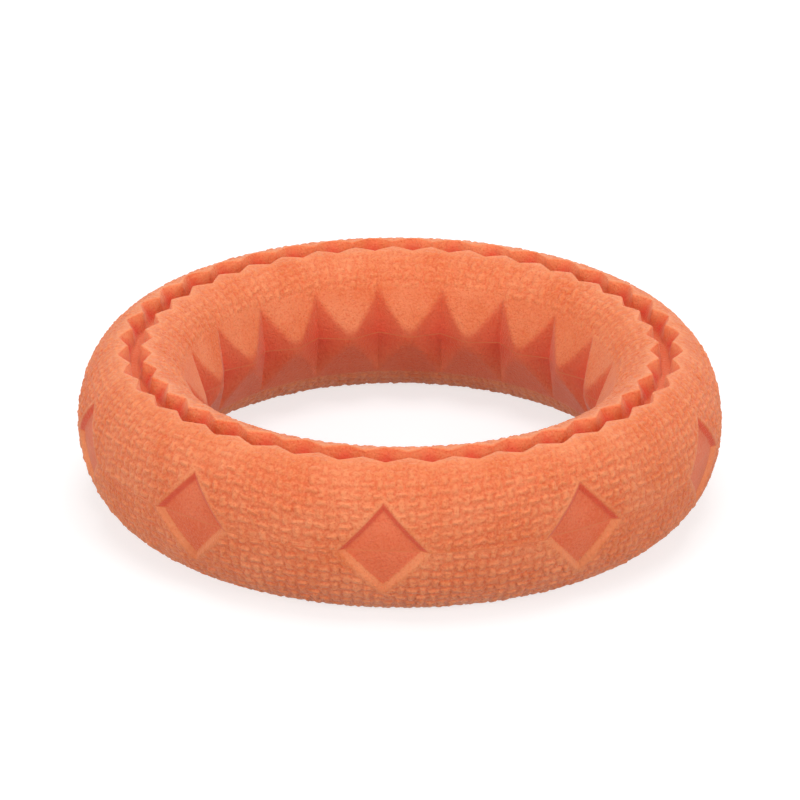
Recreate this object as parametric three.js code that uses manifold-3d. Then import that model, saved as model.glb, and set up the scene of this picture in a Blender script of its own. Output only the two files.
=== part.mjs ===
// A moulded foam throwing ring: two mirrored halves bonded at the equator.
// Millimetres, +Z up. The ring lies flat, its axis is Z, and z = 0 is the plane it rests on.
// The front of the ring is -Y, where one of the diamond recesses is centred.

import * as THREE from 'three';
import { ConvexGeometry } from 'three/addons/geometries/ConvexGeometry.js';
import { mergeVertices } from 'three/addons/utils/BufferGeometryUtils.js';
import Module from 'manifold-3d';

const wasm = await Module();
wasm.setup();

// Section of the ring
const OUTER_RADIUS = 85;        // to the widest point, at the equator
const CREST_RADIUS = 71;        // circle along the top of the section
const INNER_RADIUS = 54.3;      // the plain inner wall at the equator, without the pyramids
const CROWN_HALF_HEIGHT = 20.8; // half height of the full oval section
const HALF_HEIGHT = 20.2;       // the oval is flattened here, top and bottom
const OUTER_FULLNESS = 2;       // 2 is an ellipse, more is squarer
const INNER_FULLNESS = 2.27;
const BOND_THICKNESS = 0.3;     // the film of adhesive between the halves

// Diamond recesses round the outside
const DIAMOND_COUNT = 10;
const DIAMOND_HALF_WIDTH = 12.2;
const DIAMOND_HALF_HEIGHT = 12.6;
const DIAMOND_DRAFT = 2.3;      // how far each corner draws in from rim to floor
const DIAMOND_DEPTH = 1.6;

// Zig-zag groove round the top and the bottom
const TOOTH_COUNT = 40;
const GROOVE_RADIUS = 70;
const GROOVE_DEPTH = 5;
const TIP_HALF_GAP = 1.6;       // half the width between two facing tooth tips
const NOTCH_HALF_GAP = 4.5;     // half the width between two facing notches
const FLOOR_HALF_WIDTH = 1.1;
const LIP_RISE = 0.3;           // the groove's cutter starts this far above the lips
const CELL_OVERLAP = THREE.MathUtils.degToRad(0.05);

// Pyramids round the inner wall
const PYRAMID_COUNT = 20;
const BAND_HALF_HEIGHT = 12;    // the pyramids fill this much of the wall, up and down
const VALLEY_RADIUS = 54.8;     // between two pyramids, at the equator
const RIDGE_RADIUS = 51.2;      // the short upright ridge on each pyramid
const RIDGE_HALF_LENGTH = 1.9;
const CROWN_RISE = 2;           // how far a pyramid's edge rises between its corners
const TUCK = 0.25;              // how far a pyramid's edges lie behind the wall, so that it joins cleanly
const ROOT_RADIUS = 60;         // inside the wall, so that a pyramid joins it

const LATHE_SEGMENTS = 2 * TOOTH_COUNT;
const OUTER_STEPS = 7;
const INNER_STEPS = 4;
const CLEAR = 1;                // how far a cutter stands out of what it cuts
const TURN = 2 * Math.PI;

// A point at an angle round the ring, counted from the front, above the equator.
function ringPoint(radius, angle, height) {
  return new THREE.Vector3(radius * Math.sin(angle), -radius * Math.cos(angle), HALF_HEIGHT + height);
}

function solidOf(geometry) {
  geometry.deleteAttribute('normal');
  geometry.deleteAttribute('uv');
  const merged = mergeVertices(geometry);
  return new wasm.Manifold(new wasm.Mesh({
    numProp: 3,
    vertProperties: new Float32Array(merged.attributes.position.array),
    triVerts: new Uint32Array(merged.index.array),
  }));
}

function hullOf(points) {
  return solidOf(new ConvexGeometry(points));
}

function geometryOf(solid) {
  const mesh = solid.getMesh();
  const geometry = new THREE.BufferGeometry();
  geometry.setAttribute('position', new THREE.BufferAttribute(mesh.vertProperties, 3));
  geometry.setIndex(new THREE.BufferAttribute(mesh.triVerts, 1));
  const flat = geometry.toNonIndexed();
  flat.computeVertexNormals();
  return flat;
}

// How far the oval section reaches sideways from its crest at a height.
function reach(height, width, halfHeight, fullness) {
  return width * (1 - (height / halfHeight) ** fullness) ** (1 / fullness);
}

function outerRadiusAt(height, inset) {
  const width = OUTER_RADIUS - CREST_RADIUS - inset;
  return CREST_RADIUS + reach(height, width, CROWN_HALF_HEIGHT - inset, OUTER_FULLNESS);
}

function innerRadiusAt(height) {
  return CREST_RADIUS - reach(height, CREST_RADIUS - INNER_RADIUS, CROWN_HALF_HEIGHT, INNER_FULLNESS);
}

// Heights from one level to another, spaced as the sine, so that they crowd where the oval turns.
function heights(from, to, top, steps) {
  const start = Math.asin(from / top);
  const end = Math.asin(to / top);
  return Array.from({ length: steps + 1 }, (_, i) => top * Math.sin(start + ((end - start) * i) / steps));
}

function turned(profile) {
  const closed = [...profile, profile[0]].map(([radius, height]) => new THREE.Vector2(radius, height));
  const lathe = new THREE.LatheGeometry(closed, LATHE_SEGMENTS, 0, TURN);
  lathe.rotateX(Math.PI / 2);
  lathe.translate(0, 0, HALF_HEIGHT);
  return solidOf(lathe);
}

// The plain ring: an oval with flat lands top and bottom, and the pyramids' valley as its inner wall.
function plainRing() {
  const outer = heights(0, HALF_HEIGHT, CROWN_HALF_HEIGHT, OUTER_STEPS).map((z) => [outerRadiusAt(z, 0), z]);
  const inner = heights(BAND_HALF_HEIGHT, HALF_HEIGHT, CROWN_HALF_HEIGHT, INNER_STEPS)
    .reverse()
    .map((z) => [innerRadiusAt(z), z]);
  const upper = [...outer, ...inner];
  const lower = upper.slice(1).reverse().map(([radius, z]) => [radius, -z]);
  return turned([...upper, [VALLEY_RADIUS, 0], ...lower]);
}

// What is left inside the outer surface once the depth of a recess is taken off it.
function recessCore() {
  const top = CROWN_HALF_HEIGHT - DIAMOND_DEPTH - CLEAR;
  const outer = heights(-top, top, CROWN_HALF_HEIGHT, 2 * OUTER_STEPS)
    .map((z) => [outerRadiusAt(Math.abs(z), DIAMOND_DEPTH), z]);
  return turned([...outer, [CREST_RADIUS, top], [CREST_RADIUS, -top]]);
}

// A diamond block that narrows inwards. Its floor is the core, so it follows the ring's surface.
function diamondCutter(angle, core) {
  const outward = ringPoint(1, angle, -HALF_HEIGHT);
  const sideways = new THREE.Vector3(Math.cos(angle), Math.sin(angle), 0);
  const upward = new THREE.Vector3(0, 0, 1);
  const corners = [];
  const addCorner = (radius, side, rise) => corners.push(
    ringPoint(0, 0, 0)
      .addScaledVector(outward, radius)
      .addScaledVector(sideways, side)
      .addScaledVector(upward, rise),
  );
  const surface = outerRadiusAt(DIAMOND_HALF_HEIGHT, 0);
  for (const sign of [-1, 1]) {
    addCorner(OUTER_RADIUS + CLEAR, sign * DIAMOND_HALF_WIDTH, 0);
    addCorner(OUTER_RADIUS - 2 * DIAMOND_DEPTH, sign * (DIAMOND_HALF_WIDTH - DIAMOND_DRAFT), 0);
    addCorner(OUTER_RADIUS + CLEAR, 0, sign * DIAMOND_HALF_HEIGHT);
    addCorner(surface - 2 * DIAMOND_DEPTH, 0, sign * (DIAMOND_HALF_HEIGHT - DIAMOND_DRAFT));
  }
  return hullOf(corners).subtract(core);
}

// One tooth pitch of the groove. The lips run notch to tip, the walls slope to a straight floor strip.
function grooveCell(angle, side) {
  const half = TURN / TOOTH_COUNT / 2 + CELL_OVERLAP;
  const growth = 1 + LIP_RISE / GROOVE_DEPTH;
  const top = side * (HALF_HEIGHT + LIP_RISE);
  const floor = side * (HALF_HEIGHT - GROOVE_DEPTH);
  const points = [];
  for (const across of [-1, 1]) {
    const radiusOf = (halfGap) => GROOVE_RADIUS + across * halfGap;
    const atTop = (halfGap) => radiusOf(FLOOR_HALF_WIDTH + (halfGap - FLOOR_HALF_WIDTH) * growth);
    points.push(ringPoint(atTop(NOTCH_HALF_GAP), angle, top));
    for (const end of [-half, half]) {
      points.push(ringPoint(atTop(TIP_HALF_GAP), angle + end, top));
      points.push(ringPoint(radiusOf(FLOOR_HALF_WIDTH), angle + end, floor));
    }
  }
  return hullOf(points);
}

// A blunt pyramid on the inner wall: a wide base, and a short upright ridge that faces the hole.
function pyramid(angle) {
  const half = TURN / PYRAMID_COUNT / 2;
  const crown = BAND_HALF_HEIGHT + CROWN_RISE;
  const points = [];
  for (const side of [-1, 1]) {
    const edge = angle + side * half;
    points.push(ringPoint(VALLEY_RADIUS + TUCK, edge, 0));
    points.push(ringPoint(RIDGE_RADIUS, angle, side * RIDGE_HALF_LENGTH));
    points.push(ringPoint(innerRadiusAt(crown) + TUCK, angle, side * crown));
    for (const end of [-BAND_HALF_HEIGHT, BAND_HALF_HEIGHT]) {
      points.push(ringPoint(innerRadiusAt(BAND_HALF_HEIGHT) + TUCK, edge, end));
      points.push(ringPoint(ROOT_RADIUS, edge, end));
    }
  }
  return hullOf(points);
}

function shapedRing() {
  let ring = plainRing();
  for (let i = 0; i < PYRAMID_COUNT; i += 1) {
    ring = ring.add(pyramid((TURN * i) / PYRAMID_COUNT));
  }
  const core = recessCore();
  for (let i = 0; i < DIAMOND_COUNT; i += 1) {
    ring = ring.subtract(diamondCutter((TURN * i) / DIAMOND_COUNT, core));
  }
  for (let i = 0; i < TOOTH_COUNT; i += 1) {
    for (const side of [-1, 1]) {
      ring = ring.subtract(grooveCell((TURN * i) / TOOTH_COUNT, side));
    }
  }
  return ring;
}

// A flat block that holds everything between two heights.
function slab(bottom, top) {
  const width = 2 * (OUTER_RADIUS + CLEAR);
  const block = new THREE.BoxGeometry(width, width, top - bottom);
  block.translate(0, 0, (bottom + top) / 2);
  return solidOf(block);
}

function piece(name, solid, colour, roughness) {
  const material = new THREE.MeshStandardMaterial({ color: colour, roughness, metalness: 0 });
  const mesh = new THREE.Mesh(geometryOf(solid), material);
  mesh.name = name;
  return mesh;
}

const ring = shapedRing();
const filmBottom = HALF_HEIGHT - BOND_THICKNESS / 2;
const filmTop = HALF_HEIGHT + BOND_THICKNESS / 2;

const flyingRing = new THREE.Group();
flyingRing.name = 'flying_ring';
flyingRing.add(piece('upper_half', ring.intersect(slab(filmTop, 2 * HALF_HEIGHT + CLEAR)), '#ea8350', 0.75));
flyingRing.add(piece('lower_half', ring.intersect(slab(-CLEAR, filmBottom)), '#e57c4b', 0.75));
flyingRing.add(piece('bond_film', ring.intersect(slab(filmBottom, filmTop)), '#cf5a36', 0.5));

export default flyingRing;
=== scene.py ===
import math
from collections import namedtuple

import bmesh
import bpy
import numpy as np
from bpy.props import FloatProperty, FloatVectorProperty, IntProperty, PointerProperty
from mathutils import Matrix, Vector


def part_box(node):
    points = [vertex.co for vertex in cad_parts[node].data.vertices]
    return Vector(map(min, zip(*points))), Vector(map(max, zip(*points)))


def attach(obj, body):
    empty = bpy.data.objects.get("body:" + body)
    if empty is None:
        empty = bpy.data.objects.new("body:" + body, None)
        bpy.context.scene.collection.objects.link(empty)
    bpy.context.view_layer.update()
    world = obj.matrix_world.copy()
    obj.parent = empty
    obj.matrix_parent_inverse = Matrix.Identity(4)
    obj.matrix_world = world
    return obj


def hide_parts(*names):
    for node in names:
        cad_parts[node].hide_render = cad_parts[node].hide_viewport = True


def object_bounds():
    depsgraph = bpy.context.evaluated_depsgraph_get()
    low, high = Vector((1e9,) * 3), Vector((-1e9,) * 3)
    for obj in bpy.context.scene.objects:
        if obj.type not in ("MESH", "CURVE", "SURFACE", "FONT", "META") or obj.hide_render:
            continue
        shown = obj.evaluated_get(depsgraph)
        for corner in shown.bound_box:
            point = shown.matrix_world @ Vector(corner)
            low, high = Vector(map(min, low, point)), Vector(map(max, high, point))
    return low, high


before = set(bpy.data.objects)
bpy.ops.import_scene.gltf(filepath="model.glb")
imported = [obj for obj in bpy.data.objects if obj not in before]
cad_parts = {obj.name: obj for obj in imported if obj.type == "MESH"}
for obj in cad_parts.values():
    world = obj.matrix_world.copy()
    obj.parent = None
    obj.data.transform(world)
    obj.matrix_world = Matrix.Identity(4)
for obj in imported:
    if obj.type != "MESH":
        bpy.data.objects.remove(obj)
CAD_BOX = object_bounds()

bl_info = {
    "name": "Foam Throwing Ring",
    "version": (1, 0, 0),
    "blender": (4, 5, 0),
    "location": "3D View > Sidebar > Throwing Ring",
    "description": "Builds the woven foam halves, their adhesive and a stage on the ring's CAD frame",
    "category": "Add Mesh",
}

# The places that come from the frame, in metres
RING_LOW, RING_HIGH = CAD_BOX
FILM_LOW, FILM_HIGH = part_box("bond_film")
MIDDLE = (FILM_LOW.z + FILM_HIGH.z) / 2
OUTER_RADIUS = RING_HIGH.x
HALF_HEIGHT = (RING_HIGH.z - RING_LOW.z) / 2
JOINT_GAP = FILM_HIGH.z - FILM_LOW.z

TURN = 2 * math.pi
OUTWARD = 1     # the side of the section that faces away from the hole
INWARD = -1     # the side that faces the hole
SECTION_SAMPLES = 4096
MERGE_DISTANCE = 1e-7
CHAMFER_REACH = 0.0005      # how far above the joint a half has its full width again
RIM_SOFTNESS = 0.12         # how softly a diamond's wall meets the surface and the floor
LEAST_SOFTNESS = 1e-6       # keeps the corners of the pyramids' band sharp without dividing by nothing

# Where the relief of the weave starts and sinks
JOINT_FADE = 0.0004     # height above the equator over which it starts
LIP_MARGIN = 0.0004     # width of the plain strip beside a lip
LIP_FADE = 0.001        # width beside that strip over which it starts
OUTER_CALM = 0.009      # width beside a lip over which it sinks to half, on the outer wall
INNER_CALM = 0.004      # the same on the inner brow
BAND_FADE = 0.0008      # width beside the pyramids over which it starts
INNER_RELIEF = 0.8      # its share on the inner brow
RIM_MARGIN = 0.3        # share of a diamond's margin that is wholly plain

# The thread value says how high a place is on the weave: 0 is a gap and 1 the top of a bar.
PLAIN = 0.6             # a surface without weave

# The painted shading value says how much shade is painted into the foam's colour: 0 is plain foam, 1 is the
# deepest painted shade, and below 0 the foam is painted paler as a painted highlight.
GROOVE_FLOOR_SHADE = 0.35       # painted shade on the groove's floor
FLOOR_SHARE = 0.25      # share of the groove's wall over which it takes the floor's value
LIP_SHADE = 0.3          # painted shade on the groove's wall, just below a lip
NOTCH_SHADE = 1.0        # painted shade low in a notch, the deepest
NOTCH_SHARE = 2 / 3     # share of the groove's wall over which it gets there
TIP_LIGHT = -0.3         # the wall below a tip, painted paler as painted light
LIP_CORNER_LIGHT = -0.6      # painted highlight on the corner of a lip
VALLEY_SHADE = 1.0       # painted shade between two pyramids, at the equator
RIDGE_SHADE = 0.6        # painted shade on a side facet beside its ridge, as a share of the valley's
BAND_SHADE = 0.4         # painted shade on a side facet at the end of the band, as a share of the equator's
SHADING_EDGE = 0.25        # share of a diamond's wall over which its painted shading changes

# What differs between the halves: the seed of the weave, the way the half faces, and the painted shading of
# the walls of the diamonds and the end facets of the pyramids: painted shade on the upper half's diamond
# walls, which face down, a painted highlight on the lower half's, which face up, and more painted shade on
# the lower half's end facets, which face down
Half = namedtuple("Half", "node seed over diamond_wall_skin end_facet_skin")
HALVES = (
    Half("upper_half", seed=3, over=1, diamond_wall_skin=0.9, end_facet_skin=0.15),
    Half("lower_half", seed=7, over=-1, diamond_wall_skin=-0.5, end_facet_skin=0.6),
)

# The zones of a half's skin and their rows of faces, from the outer equator over the top to the inner equator
ZONES = (
    ("outer_wall", 68),
    ("outer_teeth", 14),
    ("outer_round", 6),
    ("outer_slope", 8),
    ("floor", 4),
    ("inner_slope", 8),
    ("inner_round", 6),
    ("inner_brow", 26),
    ("pyramid_wall", 26),
)

# The studio: places and widths in metres, powers in watts
FLOOR_HALF_WIDTH = 4.0
SENSOR_WIDTH = 36       # millimetres
CLIP_END = 20
Lamp = namedtuple("Lamp", "name place width power")
LAMPS = (
    Lamp("left_light", place=(-1.20, -1.05, 0.60), width=0.9, power=10.6),
    Lamp("right_light", place=(1.25, -1.00, 0.65), width=0.9, power=11.2),
    Lamp("top_light", place=(0.0, 0.1, 1.7), width=1.0, power=13),
    Lamp("back_light", place=(0.3, 1.6, 0.9), width=1.0, power=7),
)

# Where the even light changes, from 0 straight down to 1 straight up
GROUND_END = 0.40
WALLS_START = 0.47
WALLS_END = 0.56
SKY_START = 0.64

# The foam's finish: how wide its marks are and how high its bumps
SEED_OFFSET = 0.7       # how far apart the noise of two seeds is read, in metres
PATCH_WIDTH = 0.012
SPECKLE_WIDTH = 0.0007
PORE_WIDTH = 0.0006
GRAIN_WIDTH = 0.0010
GRAIN_HEIGHT = 0.00022
FINE_WIDTH = 0.0005
FINE_HEIGHT = 0.00025

# The adhesive's finish
STREAK_WIDTH = 0.003
RIPPLE_WIDTH = 0.0008
RIPPLE_HEIGHT = 0.00005


# ------------------------------------------------------------------ sizes and colours

def length(name, description, default):
    return FloatProperty(name=name, description=description, default=default, subtype="DISTANCE",
                         unit="LENGTH")


def share(name, description, default):
    return FloatProperty(name=name, description=description, default=default, subtype="FACTOR")


def colour(name, description, default):
    return FloatVectorProperty(name=name, description=description, default=default, size=3, subtype="COLOR",
                               min=0, max=1)


def angle(name, description, degrees):
    return FloatProperty(name=name, description=description, default=math.radians(degrees), subtype="ANGLE",
                         unit="ROTATION")


class RingSection(bpy.types.PropertyGroup):
    outer_radius: length("Outer radius", "From the axis to the widest point, at the equator", OUTER_RADIUS)
    half_height: length("Half height", "From the equator to the flat top", HALF_HEIGHT)
    outer_width: length("Outer width", "From the crest of the section out to the widest point", 0.014)
    inner_width: length("Inner width", "From the crest of the section in to the plain inner wall", 0.0167)
    crown: length("Crown", "How far the full oval would rise above the flat top", 0.0006)
    crown_blend: length("Crown blend", "How softly the oval turns into the flat top", 0.0004)
    outer_fullness: FloatProperty(name="Outer fullness", description="2 is an ellipse, more is squarer",
                                  default=2)
    inner_fullness: FloatProperty(name="Inner fullness", description="2 is an ellipse, more is squarer",
                                  default=2.27)
    joint_gap: length("Joint gap", "Thickness of the adhesive between the halves", JOINT_GAP)
    joint_chamfer: length("Joint chamfer", "How far each half draws back at the joint", 0.00002)
    joint_recess: length("Joint recess", "How far the adhesive lies behind the surface", 0.00001)


class RingGroove(bpy.types.PropertyGroup):
    teeth: IntProperty(name="Teeth", description="Teeth round each lip", default=40)
    columns: IntProperty(name="Columns", description="Mesh columns to each tooth", default=36)
    radius: length("Radius", "Radius of the middle of the groove", 0.070)
    depth: length("Depth", "From the flat top down to the floor", 0.005)
    tip: length("Tip half gap", "Half the width between two facing tips", 0.0016)
    notch: length("Notch half gap", "Half the width between two facing notches", 0.0045)
    floor: length("Floor half width", "Half the width of the straight floor strip", 0.0011)
    edge: length("Edge round", "How far the rounding of a lip reaches at a notch", 0.0003)
    tip_edge: length("Tip round", "How much further the rounding reaches at a tip", 0.0003)
    outer_bow: FloatProperty(name="Outer bow", description="1 is a straight zigzag, more rounds the notches",
                             default=1.15)
    inner_bow: FloatProperty(name="Inner bow", description="1 is a straight zigzag, more rounds the notches",
                             default=1.05)
    blunting: share("Blunting", "Share of the pitch over which tips and notches are rounded", 0.07)
    brow: length("Brow", "Width of the band beside a lip where the mesh follows the teeth", 0.0032)
    # the width of the band of painted highlight beside a lip
    lip_highlight: length("Rubbed band", "Width of the paler band beside a lip", 0.0035)


class RingDiamonds(bpy.types.PropertyGroup):
    count: IntProperty(name="Diamonds", description="Diamond recesses round the outside", default=10)
    half_width: length("Half width", "From the middle of a diamond to its side corner", 0.0115)
    half_height: length("Half height", "From the middle of a diamond to its top corner", 0.0125)
    wall: length("Wall", "Width of the sloping wall round the floor", 0.0013)
    depth: length("Depth", "Depth of the floor", 0.0013)
    margin: length("Margin", "Width of the plain band round the rim", 0.0012)
    # painted shade on each diamond's recessed floor
    floor_shade: share("Floor skin", "How deep the moulded skin's colour is on the floor", 0.5)


class RingPyramids(bpy.types.PropertyGroup):
    count: IntProperty(name="Pyramids", description="Pyramids round the inner wall", default=20)
    half_band: length("Half band", "Half the height of the band that the pyramids fill", 0.0125)
    valley_radius: length("Valley radius", "Radius between two pyramids, at the equator", 0.0548)
    ridge_radius: length("Ridge radius", "Radius of the short upright ridge on each pyramid", 0.0512)
    half_ridge: length("Half ridge", "Half the height of the upright ridge", 0.0019)
    blunt: share("Blunt", "Share of a pyramid's half width taken by its rounded ridge", 0.16)
    softness: length("Softness", "How softly the facets turn into each other", 0.0007)


class RingWeave(bpy.types.PropertyGroup):
    outer_cells: IntProperty(name="Outer cells", description="Woven cells round the outside", default=180)
    inner_cells: IntProperty(name="Inner cells", description="Woven cells round the inside", default=120)
    row_pitch: length("Row pitch", "Height of a woven cell along the section", 0.0028)
    bar_width: length("Bar width", "Width of an upright bar", 0.00155)
    bar_height: length("Bar height", "Height of a level bar", 0.00130)
    corner: length("Bar corner", "Radius of a bar's corners", 0.0006)
    edge: length("Bar edge", "Width of the sloping edge of a bar", 0.0006)
    relief: length("Relief", "Height of the bars above the gaps", 0.00038)
    waver: length("Waver", "How far the rows wander slowly up and down round the ring", 0.0008)
    wobble: length("Wobble", "How far the bars bend from cell to cell", 0.00017)
    shift: length("Shift", "How far a single bar lies off its place", 0.0002)
    unevenness: share("Unevenness", "How much the bars differ from each other in size and height", 0.45)
    lumps: share("Lumps", "Height of the foam's small lumps, as a share of the relief", 0.22)


class FoamLook(bpy.types.PropertyGroup):
    body: colour("Body", "Colour of the foam", (0.80, 0.188, 0.056))
    # pale: the lighter patches and speckle, and the painted highlight on bar tops, lip corners, walls below
    # tips and the lower half's diamond walls
    pale: colour("Pale", "Colour of the lighter patches and rubbed tops", (0.90, 0.290, 0.120))
    # deep: painted shade in the gaps of the weave, and the darker pores
    deep: colour("Deep", "Colour of the gaps of the weave", (0.74, 0.105, 0.032))
    # the colour of the painted shade in the groove, the diamonds and on the pyramids' facets
    skin: colour("Skin", "Colour of the moulded skin of the hollows and pyramids", (0.80, 0.078, 0.033))
    bloom: colour("Bloom", "Tint of the soft sheen", (1.0, 0.72, 0.62))
    adhesive: colour("Adhesive", "Colour of the adhesive", (0.76, 0.155, 0.048))


class StageLook(bpy.types.PropertyGroup):
    floor: colour("Floor", "Colour of the floor", (0.40, 0.40, 0.40))
    glow: FloatProperty(name="Glow", description="How strongly the floor's lit panel shines", default=0.68)
    sky: FloatProperty(name="Sky", description="Strength of the even light from above", default=0.35)
    walls: FloatProperty(name="Walls", description="Strength of the pale walls round the ring", default=1.0)
    ground: FloatProperty(name="Ground", description="Strength of the even light from below", default=0.3)
    azimuth: angle("Camera azimuth", "How far the camera stands to the right of the front", 2.7)
    elevation: angle("Camera elevation", "How far the camera looks down", 24.21)
    distance: length("Camera distance", "From the camera to the middle of the ring", 1.184)
    focal: FloatProperty(name="Focal length", description="Focal length in millimetres", default=200.8)
    lift: length("Aim lift", "How far above the middle of the ring the camera aims", 0.00345)
    roll: angle("Camera roll", "How far the camera leans", 0.349)


# ------------------------------------------------------------------ shared curves

def smooth_step(value):
    value = np.clip(value, 0, 1)
    return value * value * (3 - 2 * value)


def smooth_min(first, second, softness):
    """The lower of two values, with the corner between them rounded."""
    blend = np.clip(0.5 + 0.5 * (second - first) / softness, 0, 1)
    return second * (1 - blend) + first * blend - softness * blend * (1 - blend)


def smooth_max(first, second, softness):
    return -smooth_min(-first, -second, softness)


def between(start, end, share_along):
    """The value part of the way from start to end."""
    return start + (end - start) * share_along


def ramp(value, softness):
    """A straight ramp from 0 to 1 with rounded ends."""
    return smooth_max(smooth_min(value, 1, softness), 0, softness)


def repeat(turn, count):
    """How far each turn is from the middle of its repeat, from -0.5 to 0.5 of the pitch."""
    phase = turn * count / TURN
    return phase - np.round(phase)


def toward_end(turn, count):
    """How far each turn is towards the end of its repeat: 0 in the middle, 1 where the next one starts."""
    return 2 * np.abs(repeat(turn, count))


def bend(start, corner, end, share_along):
    """A point on the rounded corner from start to end."""
    rest = 1 - share_along
    return rest * rest * start + 2 * rest * share_along * corner + share_along * share_along * end


# ------------------------------------------------------------------ the section

class Oval:
    """One side of the oval section, from the equator to the crest, measured by the length along it."""

    def __init__(self, section, side):
        width = section.outer_width if side == OUTWARD else section.inner_width
        fullness = section.outer_fullness if side == OUTWARD else section.inner_fullness
        crest = section.outer_radius - section.outer_width
        climb = np.linspace(0, math.pi / 2, SECTION_SAMPLES)
        top = section.half_height + section.crown
        rise = top * np.clip(np.sin(climb), 0, 1) ** (2 / fullness)
        self.side = side
        self.radius = crest + side * width * np.clip(np.cos(climb), 0, 1) ** (2 / fullness)
        self.height = smooth_min(rise, section.half_height, section.crown_blend)
        steps = np.hypot(np.diff(self.radius), np.diff(self.height))
        self.length = np.concatenate([[0], np.cumsum(steps)])
        across = np.gradient(self.radius, self.length)
        upward = np.gradient(self.height, self.length)
        self.normal_radius = side * upward
        self.normal_height = -side * across

    def at(self, length_along):
        """The radius, the height and the outward normal at a length from the equator."""
        columns = (self.radius, self.height, self.normal_radius, self.normal_height)
        return [np.interp(length_along, self.length, column) for column in columns]

    def length_at_radius(self, radius):
        order = -self.side
        return np.interp(order * radius, order * self.radius, self.length)

    def length_at_height(self, height):
        return np.interp(height, self.height, self.length)


def lip_gap(groove, turn, side):
    """Half the width of the groove at each turn: widest at the notches, narrowest at the tips."""
    bow = groove.outer_bow if side == OUTWARD else groove.inner_bow
    from_notch = toward_end(turn, groove.teeth)
    rounded_off = groove.blunting / 4
    blunted = smooth_min(from_notch, 1 - rounded_off, groove.blunting)
    blunted = smooth_max(blunted, rounded_off, groove.blunting)
    return between(groove.notch, groove.tip, blunted ** bow)


def tip_share(groove, turn):
    """0 at a notch, 1 at a tip."""
    return smooth_step(toward_end(turn, groove.teeth))


def rim_distance(diamonds, section, turn, height):
    """How far a place lies inside the rim of the nearest diamond, square to the rim; negative is outside."""
    across = repeat(turn, diamonds.count) * TURN / diamonds.count * section.outer_radius
    half_width, half_height = diamonds.half_width, diamonds.half_height
    outline = np.abs(across) / half_width + np.abs(height) / half_height
    return (1 - outline) * half_width * half_height / math.hypot(half_width, half_height)


def pyramid_radius(pyramids, top_radius, turn, height):
    """The radius of the inner wall with its pyramids, and 1 on a side facet, 0 on an end facet."""
    level = np.abs(height)
    climb = np.clip(level / pyramids.half_band, 0, 1)
    valley = between(pyramids.valley_radius, top_radius, climb)
    from_ridge = toward_end(turn, pyramids.count)
    blunt = smooth_max(from_ridge - pyramids.blunt, 0, pyramids.blunt) / (1 - pyramids.blunt)
    sides = between(pyramids.ridge_radius, valley, blunt)
    run = (level - pyramids.half_ridge) / (pyramids.half_band - pyramids.half_ridge)
    ends = between(pyramids.ridge_radius, top_radius, run)
    reach = 2 * pyramids.softness
    softness = pyramids.softness * smooth_step((pyramids.half_band - level) / reach) + LEAST_SOFTNESS
    return smooth_max(sides, ends, softness), smooth_step((sides - ends) / reach + 0.5)


# ------------------------------------------------------------------ the weave

class Ripples:
    """A fixed mixture of waves of about one size that closes round the ring; it runs from about -1 to 1."""

    COUNT = 12
    SHORTEST = 0.75     # as shares of the size
    LONGEST = 1.35

    def __init__(self, dice, size, radius):
        heading = dice.uniform(0, math.pi, self.COUNT)
        wave = size * dice.uniform(self.SHORTEST, self.LONGEST, self.COUNT)
        phase = dice.uniform(0, TURN, self.COUNT)
        round_ring = np.round(TURN * radius * np.cos(heading) / wave)
        up = TURN * np.sin(heading) / wave
        self.waves = list(zip(round_ring, up, phase))

    def at(self, turn, along):
        total = sum(np.sin(round_ring * turn + up * along + phase) for round_ring, up, phase in self.waves)
        return total / math.sqrt(self.COUNT)


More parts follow.
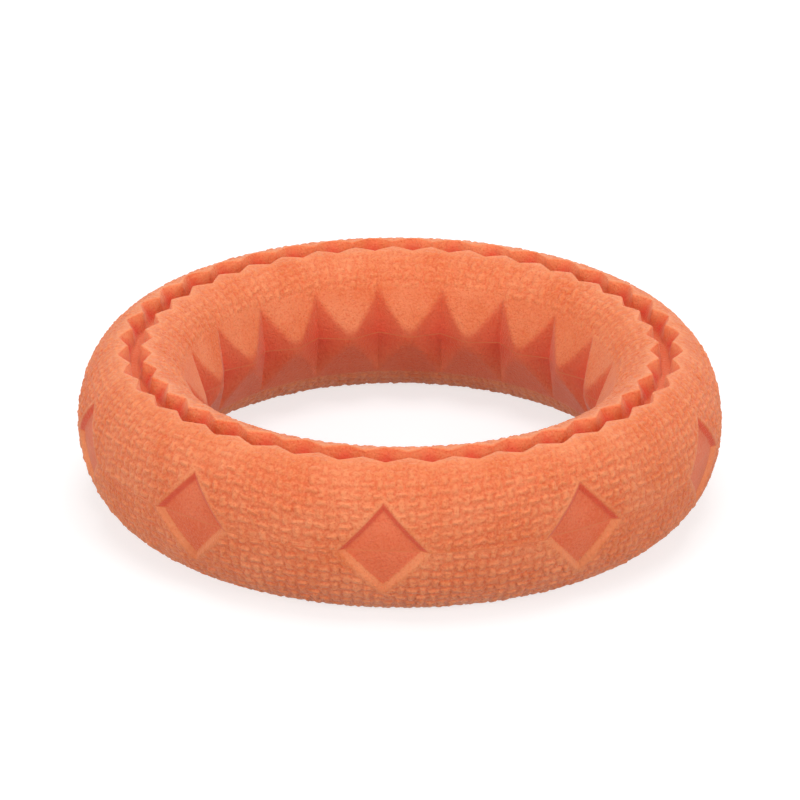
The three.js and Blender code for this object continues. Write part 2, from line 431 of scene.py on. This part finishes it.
class Weave:
    """A plain weave in relief: level and upright bars take turns from cell to cell, each a little uneven."""

    ROWS = 16               # rows before the drawn unevenness repeats
    DRIFT_SIZE = 0.080      # the slow wander of the rows
    WOBBLE_SIZE = 0.0045    # the bends of the bars
    PATCH_SIZE = 0.016      # the patches of higher and lower weave
    LUMP_SIZE = 0.0014      # the foam's small lumps
    LEAN = 0.08             # how far a bar leans at most, as a slope
    EDGE_OUTSIDE = 0.25     # share of a bar's sloping edge that lies outside its outline
    WIDTH_SHARE = 0.3       # how much of the unevenness is in the width of a bar,
    HEIGHT_SHARE = 0.7      # in its height
    PATCH_SHARE = 0.4       # and in the patches

    def __init__(self, weave, cells, radius, seed):
        dice = np.random.default_rng(seed)
        self.weave = weave
        self.cells = cells
        self.draws = dice.uniform(-1, 1, (5, self.ROWS, cells))
        self.drifts = [Ripples(dice, self.DRIFT_SIZE, radius) for _ in range(2)]
        self.wobbles = [Ripples(dice, self.WOBBLE_SIZE, radius) for _ in range(2)]
        self.patches = Ripples(dice, self.PATCH_SIZE, radius)
        self.lumps = Ripples(dice, self.LUMP_SIZE, radius)

    def height(self, turn, along, radius):
        """0 in the gaps, about 1 on the bars, at a length along the section."""
        weave = self.weave
        cell_width = TURN * radius / self.cells
        slip, climb = [weave.waver * drift.at(turn, along) for drift in self.drifts]
        bend_across, bend_along = [weave.wobble * wobble.at(turn, along) for wobble in self.wobbles]
        across = turn * self.cells / TURN + (slip + bend_across) / cell_width
        rows = (along + climb + bend_along) / weave.row_pitch
        column, row = np.floor(across), np.floor(rows)
        drawn = self.draws[:, row.astype(int) % self.ROWS, column.astype(int) % self.cells]
        upright = (column + row) % 2 == 1
        lean = self.LEAN * drawn[0]
        sideways = (across - column - 0.5) * cell_width + weave.shift * drawn[1]
        upward = (rows - row - 0.5) * weave.row_pitch + weave.shift * drawn[2]
        sideways, upward = sideways + lean * upward, upward - lean * sideways
        growth = 1 + self.WIDTH_SHARE * weave.unevenness * drawn[3]
        half_width = 0.5 * np.where(upright, weave.bar_width * growth, cell_width)
        half_height = 0.5 * np.where(upright, weave.row_pitch, weave.bar_height * growth)
        past_side = np.maximum(np.abs(sideways) - half_width + weave.corner, 0)
        past_end = np.maximum(np.abs(upward) - half_height + weave.corner, 0)
        inside = weave.corner - np.hypot(past_side, past_end)
        deep = np.minimum(half_width - np.abs(sideways), half_height - np.abs(upward))
        inside = np.where(inside >= weave.corner, deep, inside)
        bar = smooth_step(inside / weave.edge + self.EDGE_OUTSIDE)
        uneven = self.HEIGHT_SHARE * drawn[4] + self.PATCH_SHARE * self.patches.at(turn, along)
        strength = 1 + weave.unevenness * uneven
        return bar * np.maximum(strength, 0) + weave.lumps * self.lumps.at(turn, along)


# ------------------------------------------------------------------ one half

class HalfShape:
    """Where each place of a half's profile lies at each turn, above the equator."""

    def __init__(self, scene, half):
        self.half = half
        self.section = scene.ring_section
        self.groove = scene.ring_groove
        self.diamonds = scene.ring_diamonds
        self.pyramids = scene.ring_pyramids
        self.weave = scene.ring_weave
        self.outer = Oval(self.section, OUTWARD)
        self.inner = Oval(self.section, INWARD)
        self.outer_weave = Weave(self.weave, self.weave.outer_cells, self.section.outer_radius, half.seed)
        self.inner_weave = Weave(self.weave, self.weave.inner_cells, self.groove.radius, half.seed + 1)
        band_end = self.inner.length_at_height(self.pyramids.half_band)
        self.band_end = float(band_end)
        self.band_radius = float(self.inner.at(band_end)[0])
        self.joint = self.section.joint_gap / 2
        self.floor_height = self.section.half_height - self.groove.depth

    def lip(self, turn, side):
        """The lip's radius, height and length along its oval, and how far its rounding reaches."""
        oval = self.outer if side == OUTWARD else self.inner
        radius = self.groove.radius + side * lip_gap(self.groove, turn, side)
        along = oval.length_at_radius(radius)
        reach = self.groove.edge + self.groove.tip_edge * tip_share(self.groove, turn)
        return radius, oval.at(along)[1], along, reach

    def chamfer(self, height):
        """How far the surface draws back beside the joint."""
        return self.section.joint_chamfer * (1 - smooth_step((height - self.joint) / CHAMFER_REACH))

    def lip_highlight(self, from_lip):
        """The painted highlight, as a shading value below 0, that a surface gains towards the corner of a
        lip.
        """
        return LIP_CORNER_LIGHT * smooth_step(1 - from_lip / self.groove.lip_highlight)

    def lip_fade(self, from_lip, calm):
        """How much of its relief the weave keeps beside a lip."""
        sunk = 0.5 + 0.5 * smooth_step(from_lip / calm)
        return sunk * smooth_step((from_lip - LIP_MARGIN) / LIP_FADE)

    def outer_place(self, turn, along):
        """A place on the outer wall, with its weave and its diamonds."""
        radius, height, out, up = self.outer.at(along)
        diamonds = self.diamonds
        inside_rim = rim_distance(diamonds, self.section, turn, height)
        recess = ramp(inside_rim / diamonds.wall, RIM_SOFTNESS)
        from_lip = self.lip(turn, OUTWARD)[2] - along
        fade = smooth_step(-inside_rim / diamonds.margin - RIM_MARGIN)
        fade = fade * smooth_step(height / JOINT_FADE) * self.lip_fade(from_lip, OUTER_CALM)
        woven = self.outer_weave.height(turn, along, radius)
        move = self.weave.relief * fade * (woven - 0.5) - diamonds.depth * recess - self.chamfer(height)
        # painted shade on the diamonds' floors and the upper half's diamond walls, painted highlight on the
        # lower half's diamond walls and beside the lip
        edge = SHADING_EDGE * diamonds.wall
        floor_share = smooth_step((inside_rim - diamonds.wall) / edge + 0.5)
        wall_share = smooth_step(inside_rim / edge) * (1 - floor_share)
        skin = self.half.diamond_wall_skin * wall_share + diamonds.floor_shade * floor_share
        skin = skin + self.lip_highlight(from_lip)
        return radius + out * move, height + up * move, between(PLAIN, woven, fade), skin

    def inner_place(self, turn, along):
        """A place on the inner brow, between the lip and the pyramids."""
        radius, height, out, up = self.inner.at(along)
        from_lip = self.lip(turn, INWARD)[2] - along
        fade = INNER_RELIEF * smooth_step((along - self.band_end) / BAND_FADE)
        fade = fade * self.lip_fade(from_lip, INNER_CALM)
        woven = self.inner_weave.height(turn, along, radius)
        move = self.weave.relief * fade * (woven - 0.5)
        thread = between(PLAIN, woven, fade)
        # the last value is the painted highlight beside the lip
        return radius + out * move, height + up * move, thread, self.lip_highlight(from_lip)

    def wall_place(self, turn, height):
        """A place on the pyramids."""
        radius, side_facet = pyramid_radius(self.pyramids, self.band_radius, turn, height)
        # painted shade on the side facets, deepest in the valleys at the equator, and on the end facets as
        # given for each half
        from_ridge = toward_end(turn, self.pyramids.count)
        fading = between(1, BAND_SHADE, height / self.pyramids.half_band)
        side_shade = VALLEY_SHADE * fading * between(RIDGE_SHADE, 1, from_ridge)
        skin = between(self.half.end_facet_skin, side_shade, side_facet)
        return radius + self.chamfer(height), height, np.full_like(radius, PLAIN), skin

    def drop(self, turn, side, reach_share):
        """A place on the groove's wall: 0 is the lip's corner, 1 the floor."""
        radius, height, _, _ = self.lip(turn, side)
        floor_radius = self.groove.radius + side * self.groove.floor
        return between(radius, floor_radius, reach_share), between(height, self.floor_height, reach_share)

    def round_place(self, turn, side, share_down):
        """A place on the rounding of a lip: 0 is on the ring's surface, 1 is on the groove's wall."""
        oval = self.outer if side == OUTWARD else self.inner
        radius, height, along, reach = self.lip(turn, side)
        start_radius, start_height, _, _ = oval.at(along - reach)
        end_radius, end_height = self.drop(turn, side, reach / self.groove.depth)
        placed_radius = bend(start_radius, radius, end_radius, share_down)
        placed_height = bend(start_height, height, end_height, share_down)
        # painted highlight at the lip's corner, turning into painted shade on the groove's wall
        skin = between(LIP_CORNER_LIGHT, LIP_SHADE, smooth_step(share_down))
        return placed_radius, placed_height, np.full_like(radius, PLAIN), skin

    def slope_place(self, turn, side, share_down):
        """A place on the groove's wall: 0 is below the rounding of the lip, 1 is on the floor."""
        reach = self.lip(turn, side)[3] / self.groove.depth
        radius, height = self.drop(turn, side, between(reach, 1, share_down))
        # painted shade deepening down a notch and on the floor, painted light on the wall below a tip
        low_down = smooth_step(share_down / NOTCH_SHARE)
        near_floor = smooth_step(1 - (1 - share_down) / FLOOR_SHARE)
        notch_shade = between(LIP_SHADE, NOTCH_SHADE, low_down)
        groove_wall_shading = between(notch_shade, TIP_LIGHT, tip_share(self.groove, turn))
        skin = between(groove_wall_shading, GROOVE_FLOOR_SHADE, near_floor)
        return radius, height, np.full_like(radius, PLAIN), skin

    def floor_place(self, share_inward):
        """A place on the groove's straight floor strip."""
        radius = self.groove.radius + self.groove.floor * (1 - 2 * share_inward)
        ones = np.ones_like(radius)
        return radius, self.floor_height * ones, PLAIN * ones, GROOVE_FLOOR_SHADE * ones

    def place(self, zone, turn, part):
        """Radius, height, thread and skin of the rows in one zone; part runs from 0 to 1 through the zone."""
        groove = self.groove
        if zone in ("outer_wall", "outer_teeth"):
            _, _, lip_along, reach = self.lip(turn, OUTWARD)
            notch_along = float(self.outer.length_at_radius(groove.radius + groove.notch))
            start = float(self.outer.length_at_height(self.joint))
            brow = notch_along - groove.brow
            if zone == "outer_wall":
                return self.outer_place(turn, between(start, brow, part))
            return self.outer_place(turn, between(brow, lip_along - reach, part))
        if zone == "outer_round":
            return self.round_place(turn, OUTWARD, part)
        if zone == "outer_slope":
            return self.slope_place(turn, OUTWARD, part)
        if zone == "floor":
            return self.floor_place(part)
        if zone == "inner_slope":
            return self.slope_place(turn, INWARD, 1 - part)
        if zone == "inner_round":
            return self.round_place(turn, INWARD, 1 - part)
        if zone == "inner_brow":
            _, _, lip_along, reach = self.lip(turn, INWARD)
            return self.inner_place(turn, between(lip_along - reach, self.band_end, part))
        return self.wall_place(turn, between(self.pyramids.half_band, self.joint, part))


def unrolled_skin(rows, columns):
    """A flat sheet of that many faces each way, with the row and the turn from the front of each vertex."""
    bm = bmesh.new()
    bmesh.ops.create_grid(bm, x_segments=rows, y_segments=columns, size=0.5)
    mesh = bpy.data.meshes.new("unrolled_skin")
    bm.to_mesh(mesh)
    bm.free()
    flat = np.empty(3 * len(mesh.vertices))
    mesh.vertices.foreach_get("co", flat)
    sheet = flat.reshape(-1, 3) + 0.5
    return mesh, np.round(sheet[:, 0] * rows), np.round(sheet[:, 1] * columns) * TURN / columns


def roll_up(mesh, turn, radius, height, smooth):
    """Puts each vertex of a skin at its turn, radius and height, and closes the skin round the axis."""
    placed = np.stack([radius * np.sin(turn), -radius * np.cos(turn), height], axis=1)
    mesh.vertices.foreach_set("co", placed.ravel())
    bm = bmesh.new()
    bm.from_mesh(mesh)
    for face in bm.faces:
        face.smooth = smooth
    open_verts = [vert for vert in bm.verts if vert.is_boundary]
    bmesh.ops.remove_doubles(bm, verts=open_verts, dist=MERGE_DISTANCE)
    return bm


def finish_shell(bm, mesh):
    """Turns every face of a closed shell outwards and writes it to its mesh."""
    bmesh.ops.recalc_face_normals(bm, faces=bm.faces[:])
    bm.to_mesh(mesh)
    bm.free()


def carved_half(shape, columns):
    """A foam half's mesh; the lower half is the same shape turned over."""
    mesh, row, turn = unrolled_skin(sum(rows for _, rows in ZONES), columns)
    radius, height, thread, skin = np.empty((4, len(turn)))
    first = 0
    for zone, rows in ZONES:
        inside = (row >= first) & (row <= first + rows)
        part = (row[inside] - first) / rows
        placed = shape.place(zone, turn[inside], part)
        radius[inside], height[inside], thread[inside], skin[inside] = placed
        first += rows
    # thread is the weave's height; the second attribute carries the painted shade and painted highlight
    for name, values in (("thread", thread), ("skin", skin)):
        mesh.attributes.new(name, "FLOAT", "POINT").data.foreach_set("value", values.astype(np.float32))
    bm = roll_up(mesh, turn, radius, MIDDLE + shape.half.over * height, smooth=True)
    open_edges = [edge for edge in bm.edges if edge.is_boundary]
    for edge in open_edges:
        edge.smooth = False
    bmesh.ops.bridge_loops(bm, edges=open_edges)
    finish_shell(bm, mesh)
    return mesh


def add_piece(name, mesh, material):
    piece = bpy.data.objects.new(name, mesh)
    bpy.context.scene.collection.objects.link(piece)
    mesh.materials.append(material)
    return piece


def foam_half(scene, half):
    """One half of the ring in its foam, in place of its plain solid."""
    mesh = carved_half(HalfShape(scene, half), scene.ring_groove.teeth * scene.ring_groove.columns)
    name = half.node + "_foam"
    piece = add_piece(name, mesh, foam_material(scene.foam_look, name, half.seed))
    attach(piece, "root")
    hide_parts(half.node)
    return piece


def adhesive_ring(scene):
    """The film between the halves: a thin band that follows their outline a little behind it."""
    shape = HalfShape(scene, HALVES[0])
    section = scene.ring_section
    sides = 4
    mesh, row, turn = unrolled_skin(sides, scene.ring_groove.teeth * scene.ring_groove.columns // 2)
    joint = np.full_like(turn, shape.joint)
    outer = shape.outer_place(turn, shape.outer.length_at_height(joint))[0] - section.joint_recess
    inner = shape.wall_place(turn, joint)[0] + section.joint_recess
    corner = row % sides
    radius = np.where(corner < 2, outer, inner)
    level = np.where((corner == 1) | (corner == 2), shape.joint, -shape.joint)
    bm = roll_up(mesh, turn, radius, MIDDLE + level, smooth=False)
    finish_shell(bm, mesh)
    piece = add_piece("adhesive_ring", mesh, adhesive_material(scene.foam_look))
    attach(piece, "root")
    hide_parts("bond_film")
    return piece


# ------------------------------------------------------------------ materials

class Nodes:
    """A material's node tree, with short ways to add the nodes that the finishes share."""

    def __init__(self, name):
        self.material = bpy.data.materials.new(name)
        self.material.use_nodes = True
        self.tree = self.material.node_tree
        self.tree.nodes.clear()
        self.output = self.tree.nodes.new("ShaderNodeOutputMaterial")
        self.shader = self.tree.nodes.new("ShaderNodeBsdfPrincipled")
        self.join(self.shader.outputs["BSDF"], self.output.inputs["Surface"])
        self.place = self.tree.nodes.new("ShaderNodeTexCoord").outputs["Object"]

    def join(self, source, target):
        self.tree.links.new(source, target)

    def set(self, **values):
        for name, value in values.items():
            self.shader.inputs[name.replace("_", " ").title().replace("Ior", "IOR")].default_value = value

    def noise(self, width, detail, offset=0.0):
        """Noise whose marks are about that many metres across."""
        mapping = self.tree.nodes.new("ShaderNodeMapping")
        mapping.inputs["Location"].default_value = (offset, offset, offset)
        self.join(self.place, mapping.inputs["Vector"])
        node = self.tree.nodes.new("ShaderNodeTexNoise")
        node.inputs["Scale"].default_value = 1 / width
        node.inputs["Detail"].default_value = detail
        self.join(mapping.outputs["Vector"], node.inputs["Vector"])
        return node.outputs["Fac"]

    def spread(self, source, low, high, to_low=0.0, to_high=1.0):
        """Stretches values between low and high to another range."""
        node = self.tree.nodes.new("ShaderNodeMapRange")
        node.inputs["From Min"].default_value = low
        node.inputs["From Max"].default_value = high
        node.inputs["To Min"].default_value = to_low
        node.inputs["To Max"].default_value = to_high
        self.join(source, node.inputs["Value"])
        return node.outputs["Result"]

    def attribute(self, name):
        node = self.tree.nodes.new("ShaderNodeAttribute")
        node.attribute_name = name
        return node.outputs["Fac"]

    def mix(self, factor, first, second):
        """A colour between two; each is a colour or another node's socket."""
        node = self.tree.nodes.new("ShaderNodeMix")
        node.data_type = "RGBA"
        self.join(factor, node.inputs["Factor"])
        for socket, value in ((node.inputs["A"], first), (node.inputs["B"], second)):
            if isinstance(value, bpy.types.NodeSocket):
                self.join(value, socket)
            else:
                socket.default_value = (*value, 1)
        return node.outputs["Result"]

    def bump(self, source, height, under=None):
        """Bumps of a height, on top of those under them."""
        node = self.tree.nodes.new("ShaderNodeBump")
        node.inputs["Strength"].default_value = 1.0
        node.inputs["Distance"].default_value = height
        self.join(source, node.inputs["Height"])
        if under is not None:
            self.join(under, node.inputs["Normal"])
        return node.outputs["Normal"]


def foam_material(look, name, seed):
    """Matt foam with painted shade in the gaps of the weave and in the hollows, and painted highlights, where
    it is paler, on the bar tops, the lip corners, the walls below tips and the lower half's diamond walls.
    """
    nodes = Nodes(name)
    offset = SEED_OFFSET * seed
    thread = nodes.attribute("thread")
    skin = nodes.attribute("skin")
    patches = nodes.spread(nodes.noise(PATCH_WIDTH, 3, offset), low=0.35, high=0.65)
    speckle = nodes.spread(nodes.noise(SPECKLE_WIDTH, 3, offset), low=0.40, high=0.68)
    foam_between_pores = nodes.noise(PORE_WIDTH, 1, offset)
    tints = (
        # painted shade in the gaps of the weave
        (nodes.spread(thread, low=0, high=PLAIN, to_low=0.5, to_high=0), look.deep),
        # painted highlight on the bar tops
        (nodes.spread(thread, low=0.75, high=1.3, to_high=0.4), look.pale),
        (nodes.spread(speckle, low=0, high=1, to_high=0.6), look.pale),
        (nodes.spread(foam_between_pores, low=0.34, high=0.46, to_low=0.45, to_high=0), look.deep),
        # painted highlight where the shading value is below 0
        (nodes.spread(skin, low=0, high=-1, to_high=0.9), look.pale),
        # painted shade in the hollows
        (nodes.spread(skin, low=0, high=1, to_high=0.9), look.skin),
    )
    base = nodes.mix(patches, look.body, look.pale)
    for strength, tint in tints:
        base = nodes.mix(strength, base, tint)
    nodes.join(base, nodes.shader.inputs["Base Color"])
    roughness = nodes.spread(speckle, low=0, high=1, to_low=0.78, to_high=0.60)
    nodes.join(roughness, nodes.shader.inputs["Roughness"])
    grain = nodes.bump(nodes.noise(GRAIN_WIDTH, 2, offset), GRAIN_HEIGHT)
    fine = nodes.bump(nodes.noise(FINE_WIDTH, 2, offset), FINE_HEIGHT, under=grain)
    nodes.join(fine, nodes.shader.inputs["Normal"])
    nodes.set(specular_ior_level=0.35, sheen_weight=0.40, sheen_roughness=0.35,
              sheen_tint=(*look.bloom, 1), subsurface_weight=0.12, subsurface_scale=0.001,
              subsurface_radius=(1.0, 0.35, 0.15))
    return nodes.material


def adhesive_material(look):
    nodes = Nodes("tinted_adhesive")
    streaks = nodes.spread(nodes.noise(STREAK_WIDTH, 3), low=0.35, high=0.7)
    nodes.join(nodes.mix(streaks, look.adhesive, look.body), nodes.shader.inputs["Base Color"])
    roughness = nodes.spread(streaks, low=0, high=1, to_low=0.42, to_high=0.6)
    nodes.join(roughness, nodes.shader.inputs["Roughness"])
    ripples = nodes.bump(nodes.noise(RIPPLE_WIDTH, 2), RIPPLE_HEIGHT)
    nodes.join(ripples, nodes.shader.inputs["Normal"])
    return nodes.material


def floor_material(look):
    nodes = Nodes("studio_floor")
    nodes.set(base_color=(*look.floor, 1), roughness=0.9)
    nodes.set(emission_color=(1, 1, 1, 1), emission_strength=look.glow)
    return nodes.material


# ------------------------------------------------------------------ stage

def stage_floor(look):
    """A wide pale floor. Its glow whitens it but doesn't light the ring."""
    bm = bmesh.new()
    bmesh.ops.create_grid(bm, x_segments=1, y_segments=1, size=FLOOR_HALF_WIDTH)
    mesh = bpy.data.meshes.new("studio_floor")
    bm.to_mesh(mesh)
    bm.free()
    floor = add_piece("studio_floor", mesh, floor_material(look))
    floor.visible_diffuse = False


def soft_light(lamp):
    """A soft square light that faces the middle of the ring."""
    light = bpy.data.lights.new(lamp.name, "AREA")
    light.shape = "SQUARE"
    light.size = lamp.width
    light.energy = lamp.power
    stand = bpy.data.objects.new(lamp.name, light)
    stand.location = lamp.place
    facing = Vector((0, 0, MIDDLE)) - Vector(lamp.place)
    stand.rotation_euler = facing.to_track_quat("-Z", "Y").to_euler()
    bpy.context.scene.collection.objects.link(stand)


def studio_sky(look):
    """Even light that is pale level with the ring and dimmer above and below."""
    world = bpy.data.worlds.new("studio_sky")
    world.use_nodes = True
    tree = world.node_tree
    direction = tree.nodes.new("ShaderNodeTexCoord").outputs["Generated"]
    parts = tree.nodes.new("ShaderNodeSeparateXYZ")
    rise = tree.nodes.new("ShaderNodeMapRange")
    rise.inputs["From Min"].default_value = -1
    ramp_node = tree.nodes.new("ShaderNodeValToRGB")
    stops = ramp_node.color_ramp.elements
    levels = (
        (GROUND_END, look.ground),
        (WALLS_START, look.walls),
        (WALLS_END, look.walls),
        (SKY_START, look.sky),
    )
    while len(stops) < len(levels):
        stops.new(0.5)
    for stop, (position, level) in zip(stops, levels):
        stop.position = position
        stop.color = (level, level, level, 1)
    tree.links.new(direction, parts.inputs["Vector"])
    tree.links.new(parts.outputs["Z"], rise.inputs["Value"])
    tree.links.new(rise.outputs["Result"], ramp_node.inputs["Fac"])
    tree.links.new(ramp_node.outputs["Color"], tree.nodes["Background"].inputs["Color"])
    bpy.context.scene.world = world


def studio_camera(look):
    """The camera looks down on the front of the ring from a little to the right, through a long lens."""
    middle = Vector((0, 0, MIDDLE))
    back = Vector((
        math.sin(look.azimuth) * math.cos(look.elevation),
        -math.cos(look.azimuth) * math.cos(look.elevation),
        math.sin(look.elevation),
    ))
    camera_data = bpy.data.cameras.new("studio_camera")
    camera_data.sensor_width = SENSOR_WIDTH
    camera_data.lens = look.focal
    camera_data.clip_end = CLIP_END
    camera = bpy.data.objects.new("studio_camera", camera_data)
    place = middle + back * look.distance
    level = back.to_track_quat("Z", "Y")
    aim = middle + level @ Vector((0, look.lift, 0))
    camera.location = place
    camera.rotation_mode = "QUATERNION"
    turned = (aim - place).to_track_quat("-Z", "Y")
    camera.rotation_quaternion = turned @ Matrix.Rotation(look.roll, 3, "Z").to_quaternion()
    bpy.context.scene.collection.objects.link(camera)
    bpy.context.scene.camera = camera


# ------------------------------------------------------------------ operators

class RING_OT_foam_halves(bpy.types.Operator):
    """Make the upper and the lower foam half with their weave, diamonds, grooves and pyramids"""

    bl_idname = "ring.foam_halves"
    bl_label = "Foam halves"

    def execute(self, context):
        for half in HALVES:
            foam_half(context.scene, half)
        return {"FINISHED"}


class RING_OT_adhesive(bpy.types.Operator):
    """Make the film of adhesive between the halves"""

    bl_idname = "ring.adhesive"
    bl_label = "Adhesive"

    def execute(self, context):
        adhesive_ring(context.scene)
        return {"FINISHED"}


class RING_OT_stage(bpy.types.Operator):
    """Make the floor, the lights and the camera"""

    bl_idname = "ring.stage"
    bl_label = "Stage"

    def execute(self, context):
        look = context.scene.stage_look
        stage_floor(look)
        studio_sky(look)
        for lamp in LAMPS:
            soft_light(lamp)
        studio_camera(look)
        context.scene.view_settings.view_transform = "Standard"
        return {"FINISHED"}


class RING_PT_builder(bpy.types.Panel):
    bl_idname = "RING_PT_builder"
    bl_label = "Throwing Ring"
    bl_space_type = "VIEW_3D"
    bl_region_type = "UI"
    bl_category = "Throwing Ring"

    def draw(self, context):
        for maker in OPERATORS:
            self.layout.operator(maker.bl_idname)
        for name in GROUPS:
            box = self.layout.box()
            group = getattr(context.scene, name)
            for field in group.__annotations__:
                box.prop(group, field)


OPERATORS = (RING_OT_stage, RING_OT_foam_halves, RING_OT_adhesive)
GROUPS = {
    "ring_section": RingSection,
    "ring_groove": RingGroove,
    "ring_diamonds": RingDiamonds,
    "ring_pyramids": RingPyramids,
    "ring_weave": RingWeave,
    "foam_look": FoamLook,
    "stage_look": StageLook,
}


def register():
    for kind in (*GROUPS.values(), *OPERATORS, RING_PT_builder):
        bpy.utils.register_class(kind)
    for name, kind in GROUPS.items():
        setattr(bpy.types.Scene, name, PointerProperty(type=kind))


def unregister():
    for name in GROUPS:
        delattr(bpy.types.Scene, name)
    for kind in reversed((*GROUPS.values(), *OPERATORS, RING_PT_builder)):
        bpy.utils.unregister_class(kind)


def main():
    register()
    bpy.ops.ring.stage()
    bpy.ops.ring.foam_halves()
    bpy.ops.ring.adhesive()


if __name__ == "__main__":
    main()
